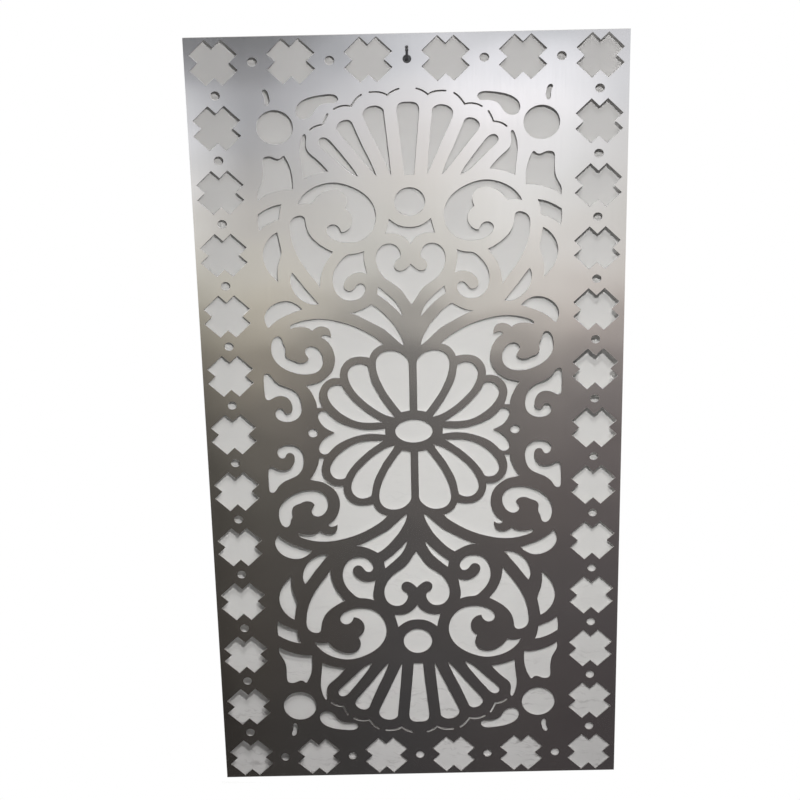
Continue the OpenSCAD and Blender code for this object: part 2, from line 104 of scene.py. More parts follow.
class Tree:
    # a node tree that is filled by one method
    def __init__(self, nodeTree):
        self.nodeTree = nodeTree
        nodeTree.nodes.clear()

    def add(self, kind, settings=None, inputs=None, output=0):
        node = self.nodeTree.nodes.new(kind)
        for name, value in (settings or {}).items():
            if name == "stops":
                elements = node.color_ramp.elements
                elements.remove(elements[1])
                elements[0].position, elements[0].color = value[0][0], (*value[0][1], 1)
                for place, colour in value[1:]:
                    elements.new(place).color = (*colour, 1)
            else:
                setattr(node, name, value)
        for name, value in (inputs or {}).items():
            if isinstance(value, Value):
                self.nodeTree.links.new(value.socket, node.inputs[name])
            else:
                node.inputs[name].default_value = value
        return Value(self, node.outputs[output]) if node.outputs else None


def newLook(name):
    material = bpy.data.materials.new(name)
    material.use_nodes = True
    return material, Tree(material.node_tree)


def mixColours(look, factor, first, second):
    return look.add("ShaderNodeMix", {"data_type": "RGBA"}, {0: factor, 6: first, 7: second}, 2)


def placeOf(look):
    return look.add("ShaderNodeTexCoord", None, None, "Object")


def axesOf(look, place):
    split = look.add("ShaderNodeSeparateXYZ", None, {"Vector": place})
    return split.out("X"), split.out("Y"), split.out("Z")


def noise(look, place, size, detail=2.0, roughness=0.5):
    # size is how large the pattern is along each axis, in metres
    scaled = look.add("ShaderNodeMapping", None, {"Vector": place, "Scale": tuple(1 / s for s in size)})
    return look.add("ShaderNodeTexNoise", None,
                    {"Vector": scaled, "Scale": 1.0, "Detail": detail, "Roughness": roughness})


def swing(pattern, amount):
    # a noise's swing to both sides of its middle
    return (pattern - 0.5) * amount


def limited(value):
    return value.tree.add("ShaderNodeClamp", None, {"Value": value})


def rising(value, start, slope):
    # 0 up to the start, and from there up to 1
    return limited((value - start) * slope)


def falling(value, end, slope):
    # from 1 down to 0, which it reaches at the end
    return limited((end - value) * slope)


def hump(value, middle, width):
    # 1 at the middle, falling off to both sides
    away = (value - middle) / width
    return 1 / (1 + away * away)


def shade(look, inputs, height=None):
    # height is in metres
    if height is not None:
        inputs["Normal"] = look.add("ShaderNodeBump", None,
                                    {"Height": height, "Strength": 1.0, "Distance": 1.0})
    surface = look.add("ShaderNodeBsdfPrincipled", None, inputs)
    look.add("ShaderNodeOutputMaterial", None, {"Surface": surface})


# each finish has its settings above its look: colours, the sizes of its patterns in metres, how much
# they roughen it and how high they stand
steel = {
    "colour": (0.72, 0.71, 0.695),
    "tint": (0.66, 0.655, 0.645),
    "lineColour": (0.5, 0.495, 0.49),
    "cutColour": (0.58, 0.57, 0.555),
    "roughness": 0.2,
    "front": -0.0055,
    "back": -0.004,
    "skin": 0.00004,  # whatever lies deeper than this under both faces is a cut edge
    "hair": (0.0009, 0.0009, 0.06),  # a brush line's width, depth and length
    "band": (0.006, 0.006, 0.35),
    "cloud": (0.22, 0.22, 0.22),
    "wave": (0.34, 0.34, 0.5),
    "ripple": (0.13, 0.13, 0.1),
    "stria": (0.0004, 0.02, 0.0004),  # the laser's lines across the thickness
    "rubbed": {"cloud": 1.6, "band": 0.5},  # how strongly these patterns part the tint from the colour
    "lineContrast": 0.9,
    "lineAmount": 0.1,
    "rougher": {"hair": 0.08, "cloud": 0.1, "cut": 0.22},
    "heights": {"wave": 0.008, "ripple": 0.0014, "band": 0.000006, "hair": 0.0000016, "stria": 0.00004},
}


def steelLook():
    material, look = newLook("brushedSteel")
    place = placeOf(look)
    _, y, _ = axesOf(look, place)
    hair = noise(look, place, steel["hair"], 3.0, 0.6)
    band = noise(look, place, steel["band"], 2.0)
    cloud = noise(look, place, steel["cloud"], 4.0, 0.55)
    wave = noise(look, place, steel["wave"], 1.0)
    ripple = noise(look, place, steel["ripple"], 1.0)
    stria = noise(look, place, steel["stria"], 1.0)
    cut = (y > steel["front"] + steel["skin"]) * (y < steel["back"] - steel["skin"])
    rubbed = limited(swing(cloud, steel["rubbed"]["cloud"]) + swing(band, steel["rubbed"]["band"]) + 0.5)
    face = mixColours(look, rubbed, (*steel["tint"], 1), (*steel["colour"], 1))
    fine = limited(swing(hair, steel["lineContrast"]) + 0.5)
    face = mixColours(look, fine * steel["lineAmount"], face, (*steel["lineColour"], 1))
    colour = mixColours(look, cut, face, (*steel["cutColour"], 1))
    rougher, high = steel["rougher"], steel["heights"]
    roughness = steel["roughness"] + swing(hair, rougher["hair"]) + swing(cloud, rougher["cloud"])
    roughness = roughness + cut * rougher["cut"]
    height = wave * high["wave"] + ripple * high["ripple"] + band * high["band"] + hair * high["hair"]
    height = height + cut * stria * high["stria"]
    shade(look, {"Base Color": colour, "Roughness": roughness, "Metallic": 1.0}, height)
    return material


coated = {
    "colour": (0.028, 0.028, 0.03),
    "worn": (0.16, 0.155, 0.15),
    "wornMetal": 0.8,
    "wornFrom": (0.56, 6),  # the blotches' value from which they are worn, and how sharply
    "tip": 0.0125,  # the wear grows around this height
    "tipWear": 0.25,  # how much of it there is at that height
    "tipSlope": 300,
    "roughness": 0.38,
    "pit": (0.0007, 0.0007, 0.0007),
    "blotch": (0.003, 0.003, 0.003),
    "rougher": {"pit": 0.2, "worn": -0.08},
    "pitHeight": 0.00004,
}


def coatedLook():
    # dark coating on steel wire, rubbed where the sheet is lifted on and off
    material, look = newLook("coatedWire")
    place = placeOf(look)
    _, _, z = axesOf(look, place)
    pits = noise(look, place, coated["pit"], 3.0)
    blotch = noise(look, place, coated["blotch"], 3.0, 0.6)
    nearTip = limited((z - coated["tip"]) * coated["tipSlope"] + coated["tipWear"])
    rubbed = rising(blotch, *coated["wornFrom"]) * nearTip
    colour = mixColours(look, rubbed, (*coated["colour"], 1), (*coated["worn"], 1))
    rougher = coated["rougher"]
    roughness = coated["roughness"] + swing(pits, rougher["pit"]) + rubbed * rougher["worn"]
    shade(look, {"Base Color": colour, "Roughness": roughness, "Metallic": rubbed * coated["wornMetal"]},
          pits * coated["pitHeight"])
    return material


zinc = {
    "colour": (0.56, 0.57, 0.58),
    "dull": (0.36, 0.365, 0.37),
    "dullFrom": (0.45, 3),
    "roughness": 0.36,
    "grain": (0.0012, 0.0012, 0.0012),
    "stain": (0.006, 0.006, 0.006),
    "grainRougher": 0.2,
    "grainHeight": 0.00002,
}


def zincLook():
    # the thread goes into the wall uncoated
    material, look = newLook("platedThread")
    place = placeOf(look)
    grain = noise(look, place, zinc["grain"], 3.0)
    stain = noise(look, place, zinc["stain"], 3.0, 0.6)
    colour = mixColours(look, rising(stain, *zinc["dullFrom"]), (*zinc["colour"], 1), (*zinc["dull"], 1))
    roughness = zinc["roughness"] + swing(grain, zinc["grainRougher"])
    shade(look, {"Base Color": colour, "Roughness": roughness, "Metallic": 1.0},
          grain * zinc["grainHeight"])
    return material


rubber = {
    "sleeveColour": (0.075, 0.076, 0.08),
    "bumperColour": (0.05, 0.05, 0.052),
    "dusty": (0.13, 0.128, 0.124),
    "dustFrom": (0.5, 2.5),
    "dustAmount": 0.6,
    "roughness": 0.62,
    "shine": 0.35,
    "grain": (0.0005, 0.0005, 0.0005),
    "dust": (0.004, 0.004, 0.004),
    "rougher": {"grain": 0.2, "dust": 0.15},
    "grainHeight": 0.00003,
}


def rubberLook(name, colour):
    material, look = newLook(name)
    place = placeOf(look)
    grain = noise(look, place, rubber["grain"], 2.0)
    dust = noise(look, place, rubber["dust"], 4.0, 0.6)
    dusty = rising(dust, *rubber["dustFrom"]) * rubber["dustAmount"]
    shown = mixColours(look, dusty, (*colour, 1), (*rubber["dusty"], 1))
    rougher = rubber["rougher"]
    roughness = rubber["roughness"] + swing(grain, rougher["grain"]) + swing(dust, rougher["dust"])
    shade(look, {"Base Color": shown, "Roughness": roughness, "Specular IOR Level": rubber["shine"]},
          grain * rubber["grainHeight"])
    return material


nylon = {
    "colour": (0.62, 0.61, 0.575),
    "marked": (0.5, 0.49, 0.46),
    "markedFrom": (0.42, 2.5),
    "roughness": 0.48,
    "subsurface": 0.1,
    "grain": (0.0006, 0.0006, 0.0006),
    "flow": (0.004, 0.02, 0.004),  # flow marks run along the mould
    "grainRougher": 0.15,
    "grainHeight": 0.00002,
}


def nylonLook():
    material, look = newLook("mouldedNylon")
    place = placeOf(look)
    grain = noise(look, place, nylon["grain"], 2.0)
    flow = noise(look, place, nylon["flow"], 3.0)
    marks = rising(flow, *nylon["markedFrom"])
    colour = mixColours(look, marks, (*nylon["colour"], 1), (*nylon["marked"], 1))
    roughness = nylon["roughness"] + swing(grain, nylon["grainRougher"])
    shade(look, {"Base Color": colour, "Roughness": roughness, "Subsurface Weight": nylon["subsurface"]},
          grain * nylon["grainHeight"])
    return material


tape = {
    "colour": (0.66, 0.65, 0.62),
    "poreColour": (0.5, 0.49, 0.465),
    "poreFrom": (0.4, 3),
    "roughness": 0.55,
    "cell": (0.0004, 0.0004, 0.0004),
    "cellRougher": 0.2,
    "cellHeight": 0.00005,
}


def tapeLook():
    material, look = newLook("foamTape")
    place = placeOf(look)
    cells = noise(look, place, tape["cell"], 2.0)
    colour = mixColours(look, rising(cells, *tape["poreFrom"]), (*tape["poreColour"], 1),
                        (*tape["colour"], 1))
    roughness = tape["roughness"] + swing(cells, tape["cellRougher"])
    shade(look, {"Base Color": colour, "Roughness": roughness}, cells * tape["cellHeight"])
    return material


steelMaterial = steelLook()
coatedMaterial = coatedLook()
zincMaterial = zincLook()
sleeveMaterial = rubberLook("sleeveRubber", rubber["sleeveColour"])
bumperMaterial = rubberLook("bumperRubber", rubber["bumperColour"])
nylonMaterial = nylonLook()
tapeMaterial = tapeLook()
print("looks made")


def newObject(name, work, material, smooth=35):
    # a bmesh made into a shown object, with its sharp edges kept; smooth is in degrees
    mergeWithin = 0.0000005
    bmesh.ops.remove_doubles(work, verts=work.verts, dist=mergeWithin)
    bmesh.ops.recalc_face_normals(work, faces=work.faces)
    mesh = bpy.data.meshes.new(name)
    work.to_mesh(mesh)
    work.free()
    for face in mesh.polygons:
        face.use_smooth = True
    mesh.set_sharp_from_angle(angle=math.radians(smooth))
    mesh.materials.append(material)
    piece = bpy.data.objects.new(name, mesh)
    bpy.context.scene.collection.objects.link(piece)
    return piece


def settled(piece, material, smooth=35):
    # the piece with its modifiers' result as a plain mesh
    built = piece.evaluated_get(bpy.context.evaluated_depsgraph_get())
    mesh = bpy.data.meshes.new_from_object(built)
    piece.modifiers.clear()
    work = bmesh.new()
    work.from_mesh(mesh)
    name = piece.name
    bpy.data.objects.remove(piece)
    return newObject(name, work, material, smooth)


def joinRings(work, rings, closedEnds=True):
    # a ring of one point closes the shape there
    for first, second in zip(rings, rings[1:]):
        count = max(len(first), len(second))
        for i in range(count):
            corners = [first[i % len(first)], first[(i + 1) % len(first)],
                       second[(i + 1) % len(second)], second[i % len(second)]]
            corners = [v for k, v in enumerate(corners) if v not in corners[:k]]
            if len(corners) > 2:
                work.faces.new(corners)
    if closedEnds:
        for ring in (rings[0], rings[-1]):
            if len(ring) > 2:
                work.faces.new(ring)


def spin(work, profile, sides, centre=(0, 0, 0), upright=False, loop=False):
    # profile points are (radius, place along the axis); the axis is Y, or Z where upright
    rings = []
    for radius, along in profile:
        ring = []
        for i in range(sides if radius > 0 else 1):
            turn = 2 * math.pi * i / sides
            across, over = radius * math.cos(turn), radius * math.sin(turn)
            point = (across, over, along) if upright else (across, along, over)
            ring.append(work.verts.new(Vector(point) + Vector(centre)))
        rings.append(ring)
    joinRings(work, rings + rings[:1] if loop else rings, not loop)


def sweep(work, path, radius, sides):
    # path lies in the YZ plane
    rings = []
    for i, point in enumerate(path):
        along = (path[min(i + 1, len(path) - 1)] - path[max(i - 1, 0)]).normalized()
        side = Vector((1, 0, 0))
        over = along.cross(side)
        rings.append([work.verts.new(point + radius * (side * math.cos(t) + over * math.sin(t)))
                      for t in (2 * math.pi * k / sides for k in range(sides))])
    joinRings(work, rings)


def rounded(centre, radius, fromAngle, toAngle, steps=6):
    # an arc of profile points
    return [(centre[0] + radius * math.cos(math.radians(a)), centre[1] + radius * math.sin(math.radians(a)))
            for a in (fromAngle + (toAngle - fromAngle) * i / steps for i in range(steps + 1))]


def geometryTree(name, sizes):
    # sizes are the tree's named inputs; the geometry socket comes first
    group = bpy.data.node_groups.new(name, "GeometryNodeTree")
    group.interface.new_socket(name="Geometry", in_out="INPUT", socket_type="NodeSocketGeometry")
    sockets = {}
    for size, value in sizes.items():
        whole = isinstance(value, int)
        made = group.interface.new_socket(name=size, in_out="INPUT",
                                          socket_type="NodeSocketInt" if whole else "NodeSocketFloat")
        made.default_value = value
        sockets[size] = made.identifier
    group.interface.new_socket(name="Geometry", in_out="OUTPUT", socket_type="NodeSocketGeometry")
    tree = Tree(group)
    return tree, tree.add("NodeGroupInput"), sockets


def endTree(tree, geometry, material):
    real = tree.add("GeometryNodeRealizeInstances", None, {"Geometry": geometry})
    dressed = tree.add("GeometryNodeSetMaterial", None, {"Geometry": real, "Material": material})
    tree.add("NodeGroupOutput", None, {"Geometry": dressed})


def runTree(piece, tree, sockets, sizes, material, smooth=35):
    modifier = piece.modifiers.new("build", "NODES")
    modifier.node_group = tree.nodeTree
    for size, value in sizes.items():
        modifier[sockets[size]] = value
    return settled(piece, material, smooth)


def emptyPiece(name):
    piece = bpy.data.objects.new(name, bpy.data.meshes.new(name))
    bpy.context.scene.collection.objects.link(piece)
    return piece


# the sheet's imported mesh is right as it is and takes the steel
sheet = nodes["screen_panel"]
sheet.data.materials.clear()
sheet.data.materials.append(steelMaterial)
print("sheet dressed")


# the hook: wire with its bend and head, collar, core and a true thread
hook = {
    "wire": 0.0017,
    "wireFrom": -0.0006,
    "bendStart": -0.0074,
    "bend": 0.004,
    "bendSteps": 16,
    "head": 0.0022,
    "headLow": 0.0142,
    "headLength": 0.0006,
    "headArc": 80,  # how far each rounded end of the head turns, in degrees
    "sides": 32,
    "collar": 0.0055,
    "collarThick": 0.0014,
    "collarSoft": 0.0004,
    "collarSides": 48,
    "core": 0.0017,
    "coreFrom": 0.0001,
    "point": 0.005,
    "tip": 0.0004,
    "tipWidth": 0.12,  # as a share of the core
    "threadFrom": 0.0006,
    "threadLength": 0.034,
    "threadShort": 0.001,  # the coil is this much shorter than threadLength, where the core ends
    "threadSteps": 40,
    "pitch": 0.002,
    "ridge": 0.00062,
    "firstRidge": 0.2,  # the ridge's size where it starts, as a share of the full one
    "pointShrink": 0.9,
}


def makeHook():
    work = bmesh.new()
    bend, start, steps, sides = hook["bend"], hook["bendStart"], hook["bendSteps"], hook["sides"]
    path = [Vector((0, hook["wireFrom"], 0)), Vector((0, start, 0))]
    for i in range(1, steps + 1):
        turn = math.radians(90 * i / steps)
        path.append(Vector((0, start - bend * math.sin(turn), bend - bend * math.cos(turn))))
    path.append(Vector((0, start - bend, hook["headLow"])))
    sweep(work, path, hook["wire"], sides)
    low, head, arc = hook["headLow"], hook["head"], hook["headArc"]
    high = low + hook["headLength"]
    profile = [(0, low - head)] + rounded((0, low), head, -arc, 0, 8) + rounded((0, high), head, 0, arc, 8)
    spin(work, profile + [(0, high + head)], sides, (0, start - bend, 0), upright=True)
    rim, soft, thick = hook["collar"], hook["collarSoft"], -hook["collarThick"]
    profile = [(0, 0)] + rounded((rim - soft, -soft), soft, 90, 0)
    profile += rounded((rim - soft, thick + soft), soft, 0, -90) + [(0, thick)]
    spin(work, profile, hook["collarSides"])
    return newObject("hookWire", work, coatedMaterial)


def makeCore():
    work = bmesh.new()
    core, begin, end = hook["core"], hook["coreFrom"], hook["threadLength"]
    spin(work, [(0, begin), (core, begin), (core, end - hook["point"]),
                (core * hook["tipWidth"], end - hook["tip"]), (0, end)], hook["sides"])
    return newObject("hookCore", work, zincMaterial)


def makeThread():
    sizes = {"Core": hook["core"], "Ridge": hook["ridge"], "Pitch": hook["pitch"],
             "Length": hook["threadLength"] - hook["threadShort"], "Point": hook["point"]}
    tree, given, sockets = geometryTree("threadTree", sizes)
    coil = tree.add("GeometryNodeCurveSpiral", None,
                    {"Resolution": hook["threadSteps"],
                     "Rotations": given.out("Length") / given.out("Pitch"),
                     "Start Radius": given.out("Core"), "End Radius": given.out("Core"),
                     "Height": given.out("Length"), "Reverse": False})
    facing = tree.add("GeometryNodeSetCurveNormal", {"mode": "Z_UP"}, {"Curve": coil})
    # both the coil and its ridge run down to the point
    place = tree.add("GeometryNodeInputPosition")
    along = tree.add("ShaderNodeSeparateXYZ", None, {"Vector": place}, "Z")
    shrink = limited((along - given.out("Length") + given.out("Point")) / given.out("Point"))
    shrink = shrink * hook["pointShrink"]
    inward = tree.add("ShaderNodeVectorMath", {"operation": "MULTIPLY"}, {0: place, 1: (-1, -1, 0)})
    offset = tree.add("ShaderNodeVectorMath", {"operation": "SCALE"}, {0: inward, "Scale": shrink})
    pointed = tree.add("GeometryNodeSetPosition", None, {"Geometry": facing, "Offset": offset})
    ridge = tree.add("GeometryNodeCurvePrimitiveCircle", {"mode": "RADIUS"},
                     {"Resolution": 3, "Radius": given.out("Ridge")}, "Curve")
    started = limited(along / given.out("Pitch") + hook["firstRidge"])
    body = tree.add("GeometryNodeCurveToMesh", None,
                    {"Curve": pointed, "Profile Curve": ridge, "Scale": started * (1 - shrink),
                     "Fill Caps": True})
    laid = tree.add("GeometryNodeTransform", None,
                    {"Geometry": body, "Rotation": (math.radians(-90), 0, 0),
                     "Translation": (0, hook["threadFrom"], 0)})
    endTree(tree, laid, zincMaterial)
    return runTree(emptyPiece("hookThread"), tree, sockets, sizes, zincMaterial, 20)


hookWire, hookCore, hookThread = makeHook(), makeCore(), makeThread()
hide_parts("wall_hook")
for piece in (hookWire, hookCore, hookThread):
    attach(piece, "hook")
print("hook made")


# the sleeve: a moulded rubber bush with a shallow ring in each end
sleeve = {
    "bore": 0.00178,
    "rim": 0.00575,
    "back": -0.0017,
    "front": -0.0071,
    "soft": 0.0005,
    "boreEdge": 0.0002,
    "ring": (0.0027, 0.003, 0.0042, 0.0045),  # its radii: inner edge, floor from and to, outer edge
    "ringDeep": 0.0003,
    "sides": 64,
}


def makeSleeve():
    work = bmesh.new()
    bore, rim, soft, edge = sleeve["bore"], sleeve["rim"], sleeve["soft"], sleeve["boreEdge"]
    front, back, deep = sleeve["front"], sleeve["back"], sleeve["ringDeep"]
    inner, floorFrom, floorTo, outer = sleeve["ring"]
    profile = [(bore, front + edge), (bore + edge, front), (inner, front), (floorFrom, front + deep),
               (floorTo, front + deep), (outer, front)]
    profile += rounded((rim - soft, front + soft), soft, -90, 0)
    profile += rounded((rim - soft, back - soft), soft, 0, 90)
    profile += [(outer, back), (floorTo, back - deep), (floorFrom, back - deep), (inner, back),
                (bore + edge, back), (bore, back - edge)]
    spin(work, profile, sleeve["sides"], loop=True)
    return newObject("sleeveBush", work, sleeveMaterial, 50)


sleeveBush = makeSleeve()
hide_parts("hook_sleeve")
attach(sleeveBush, "sleeve")
print("sleeve made")


# the wall plug: a split body with barbs along both halves
plug = {
    "radius": 0.004,
    "length": 0.04,
    "rimSoft": 0.0003,
    "sides": 48,
    "bore": 0.0021,
    "boreDepth": 0.034,
    "nose": 0.003,
    "noseIn": 0.001,
    "slot": 0.0012,
    "ring": 0.006,  # the slot starts behind a whole ring of this length
    "cutterLength": 0.05,
    "cutterHeight": 0.02,
    "barbs": 8,
    "barbStart": 0.009,
    "barbPitch": 0.0032,
    "barbRidge": 0.00034,
    "barbSunk": 0.0001,
    "barbSweep": 130.0,
    "barbSteps": 24,
}


def cutAway(piece, cutter, material):
    modifier = piece.modifiers.new("slot", "BOOLEAN")
    modifier.operation, modifier.solver, modifier.object = "DIFFERENCE", "EXACT", cutter
    made = settled(piece, material)
    bpy.data.objects.remove(cutter)
    return made


def makePlug():
    work = bmesh.new()
    radius, bore, end, soft = plug["radius"], plug["bore"], plug["length"], plug["rimSoft"]
    profile = [(bore, 0), (radius - soft, 0)] + rounded((radius - soft, soft), soft, -60, 0, 3)
    profile += [(radius, end - plug["nose"]), (radius - plug["noseIn"], end), (0, end)]
    profile += [(0, plug["boreDepth"]), (bore, plug["boreDepth"])]
    spin(work, profile, plug["sides"], loop=True)
    body = newObject("plugBody", work, nylonMaterial)
    block = bmesh.new()
    bmesh.ops.create_cube(block, size=1)
    for vert in block.verts:
        vert.co = Vector((vert.co.x * plug["slot"],
                          plug["ring"] + (vert.co.y + 0.5) * plug["cutterLength"],
                          vert.co.z * plug["cutterHeight"]))
    return cutAway(body, newObject("plugSlot", block, nylonMaterial), nylonMaterial)


def makeBarbs():
    sizes = {"Radius": plug["radius"] - plug["barbSunk"], "Ridge": plug["barbRidge"],
             "Pitch": plug["barbPitch"], "Start": plug["barbStart"],
             "Sweep": math.radians(plug["barbSweep"]), "Count": plug["barbs"]}
    tree, given, sockets = geometryTree("barbTree", sizes)
    arc = tree.add("GeometryNodeCurveArc", {"mode": "RADIUS"},
                   {"Resolution": plug["barbSteps"], "Radius": given.out("Radius"),
                    "Start Angle": given.out("Sweep") * -0.5, "Sweep Angle": given.out("Sweep")})
    ridge = tree.add("GeometryNodeCurvePrimitiveCircle", {"mode": "RADIUS"},
                     {"Resolution": 3, "Radius": given.out("Ridge")}, "Curve")
    barb = tree.add("GeometryNodeCurveToMesh", None,
                    {"Curve": arc, "Profile Curve": ridge, "Fill Caps": True})
    upright = tree.add("GeometryNodeTransform", None,
                       {"Geometry": barb, "Rotation": (math.radians(-90), 0, 0)})
    start = tree.add("ShaderNodeCombineXYZ", None, {"Y": given.out("Start")})
    step = tree.add("ShaderNodeCombineXYZ", None, {"Y": given.out("Pitch")})
    line = tree.add("GeometryNodeMeshLine", {"mode": "OFFSET"},
                    {"Count": given.out("Count"), "Start Location": start, "Offset": step})
    row = tree.add("GeometryNodeInstanceOnPoints", None, {"Points": line, "Instance": upright})
    other = tree.add("GeometryNodeTransform", None, {"Geometry": row, "Rotation": (0, math.pi, 0)})
    both = tree.add("GeometryNodeJoinGeometry", None, {"Geometry": row})
    tree.nodeTree.links.new(other.socket, both.socket.node.inputs[0])
    endTree(tree, both, nylonMaterial)
    return runTree(emptyPiece("plugBarbs"), tree, sockets, sizes, nylonMaterial)


plugBody, plugBarbs = makePlug(), makeBarbs()
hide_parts("wall_plug")
for piece in (plugBody, plugBarbs):
    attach(piece, "hook")
print("wall plug made")


# the bumpers: one domed pad on a disc of foam tape, set at four points
bumpers = {
    "radius": 0.007,
    "soft": 0.002,
    "edge": 0.00025,
    "gap": 0.004,
    "dimple": (0.0028, 0.0024, 0.0003),  # its radius, its floor's radius and its depth
    "tape": 0.0005,
    "tapeOver": 0.0001,
    "sides": 64,
    "across": 0.454,
    "along": 1.034,
    "middle": -0.564296,
}


def makeBumperPart(name, profile, material):
    sizes = {"Across": bumpers["across"], "Along": bumpers["along"], "Middle": bumpers["middle"]}
    tree, given, sockets = geometryTree(name + "Tree", sizes)
    corners = tree.add("GeometryNodeMeshGrid", None,
                       {"Size X": given.out("Across"), "Size Y": given.out("Along"),
                        "Vertices X": 2, "Vertices Y": 2}, "Mesh")
    middle = tree.add("ShaderNodeCombineXYZ", None, {"Z": given.out("Middle")})
    corners = tree.add("GeometryNodeTransform", None,
                       {"Geometry": corners, "Rotation": (math.radians(90), 0, 0), "Translation": middle})
    four = tree.add("GeometryNodeInstanceOnPoints", None, {"Points": corners, "Instance": given})
    endTree(tree, four, material)
    work = bmesh.new()
    spin(work, profile, bumpers["sides"])
    return runTree(newObject(name, work, material), tree, sockets, sizes, material)


def makeBumpers():
    radius, soft, gap, thick = bumpers["radius"], bumpers["soft"], bumpers["gap"], bumpers["tape"]
    edge, wide = bumpers["edge"], bumpers["radius"] + bumpers["tapeOver"]
    dimple, dimpleFloor, deep = bumpers["dimple"]
    pad = [(0, -gap + thick)] + rounded((radius - edge, -gap + thick + edge), edge, -90, 0, 3)
    pad += rounded((radius - soft, -soft), soft, 0, 90, 8)
    pad += [(dimple, 0), (dimpleFloor, -deep), (0, -deep)]
    disc = [(0, -gap), (wide, -gap), (wide, -gap + thick), (0, -gap + thick)]
    return makeBumperPart("bumperPads", pad, bumperMaterial), makeBumperPart("bumperTape", disc, tapeMaterial)


bumperPads, bumperTape = makeBumpers()
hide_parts("bumper_top_left", "bumper_top_right", "bumper_bottom_left", "bumper_bottom_right")
for piece in (bumperPads, bumperTape):
    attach(piece, "panel")
print("bumpers made")


def plate(name, corners, material, faces=((0, 1, 2, 3),)):
    work = bmesh.new()
    verts = [work.verts.new(c) for c in corners]
    for face in faces:
        work.faces.new([verts[i] for i in face])
    mesh = bpy.data.meshes.new(name)
    work.to_mesh(mesh)
    work.free()
    mesh.materials.append(material)
    made = bpy.data.objects.new(name, mesh)
    bpy.context.scene.collection.objects.link(made)
    return made


# the stage's wall: a plain surround, and behind the sheet small flat pieces at depths of their own
wall = {
    "depth": 0.0004,  # the surround's place on the Y axis
    "span": 6.0,
    "piecesX": 0.31,  # how far the small pieces reach to both sides
    "piecesLow": -1.18,
    "piecesHigh": 0.05,
    "pieceSize": 0.0103,
    "overlap": 0.003,
    "closest": -0.0032,
    # where a change in depth starts and over what distance, negative for downwards or to the left
    "lowDown": (-0.41, -0.55),
    "highUp": (-0.364, 0.3),
    "leftward": (-0.03, -0.27),
    "rightward": (0.0, 0.3),
    "rightUp": (-0.914, 0.4),
    "rightMiddle": (-0.464, 0.08),  # the height at which the right edge stands back most, and half its width
    "leftBack": (0.003, 0.01),  # how far the left edge stands back, and how much more low down
    "rightBack": (0.0095, 0.0065),  # the same for the right edge, and how much more at its middle
    "leftCurve": 1.3,
    "rightCurve": 2.2,
    "rightLess": 0.25,  # how much less the right edge stands back high up, as a share
    # the plaster shows this far to both sides of the middle, and its two ends go by the sheet's own: by a
    # share of the wall's depth, because what lies deeper is seen lower down, and by a distance
    "plasterX": 0.2975,
    "plasterLow": (0.69, -0.0018),
    "plasterHigh": (0.34, -0.0031),
    "light": (0.76, 0.75, 0.73),
    # the darker plaster tone, used for painted shade at the top and bottom and for the trowel's strokes
    "dull": (0.505, 0.49, 0.49),
    "paintedShadeTop": (-0.5, 2.0),  # the heights above and below which the plaster is painted darker as painted shade, and how sharply
    "paintedShadeBottom": (-0.8, 2.5),
    "shadeAndTrowelAmounts": (0.5, 0.7, 0.3),  # painted shade at the top and at the bottom, and the trowel's strokes
    "trowel": (0.09, 0.09, 0.05),
    # faint crooked marks, mostly low down
    "mark": (0.3, 0.28, 0.28),
    "markAmount": 0.6,
    "stroke": (0.04, 0.04, 0.006),
    "strokeFrom": (0.53, 9.0),
    "strokeSlant": 0.12,
    "crook": (0.03, 0.03, 0.03),
    "crookAmount": 0.03,
    "patch": (0.07, 0.07, 0.07),
    "patchFrom": (0.4, 6.0),
    "marksBelow": (-0.5, 3.0),
    "moreBelow": (-0.93, 8.0),
    "moreAmount": 0.8,
}


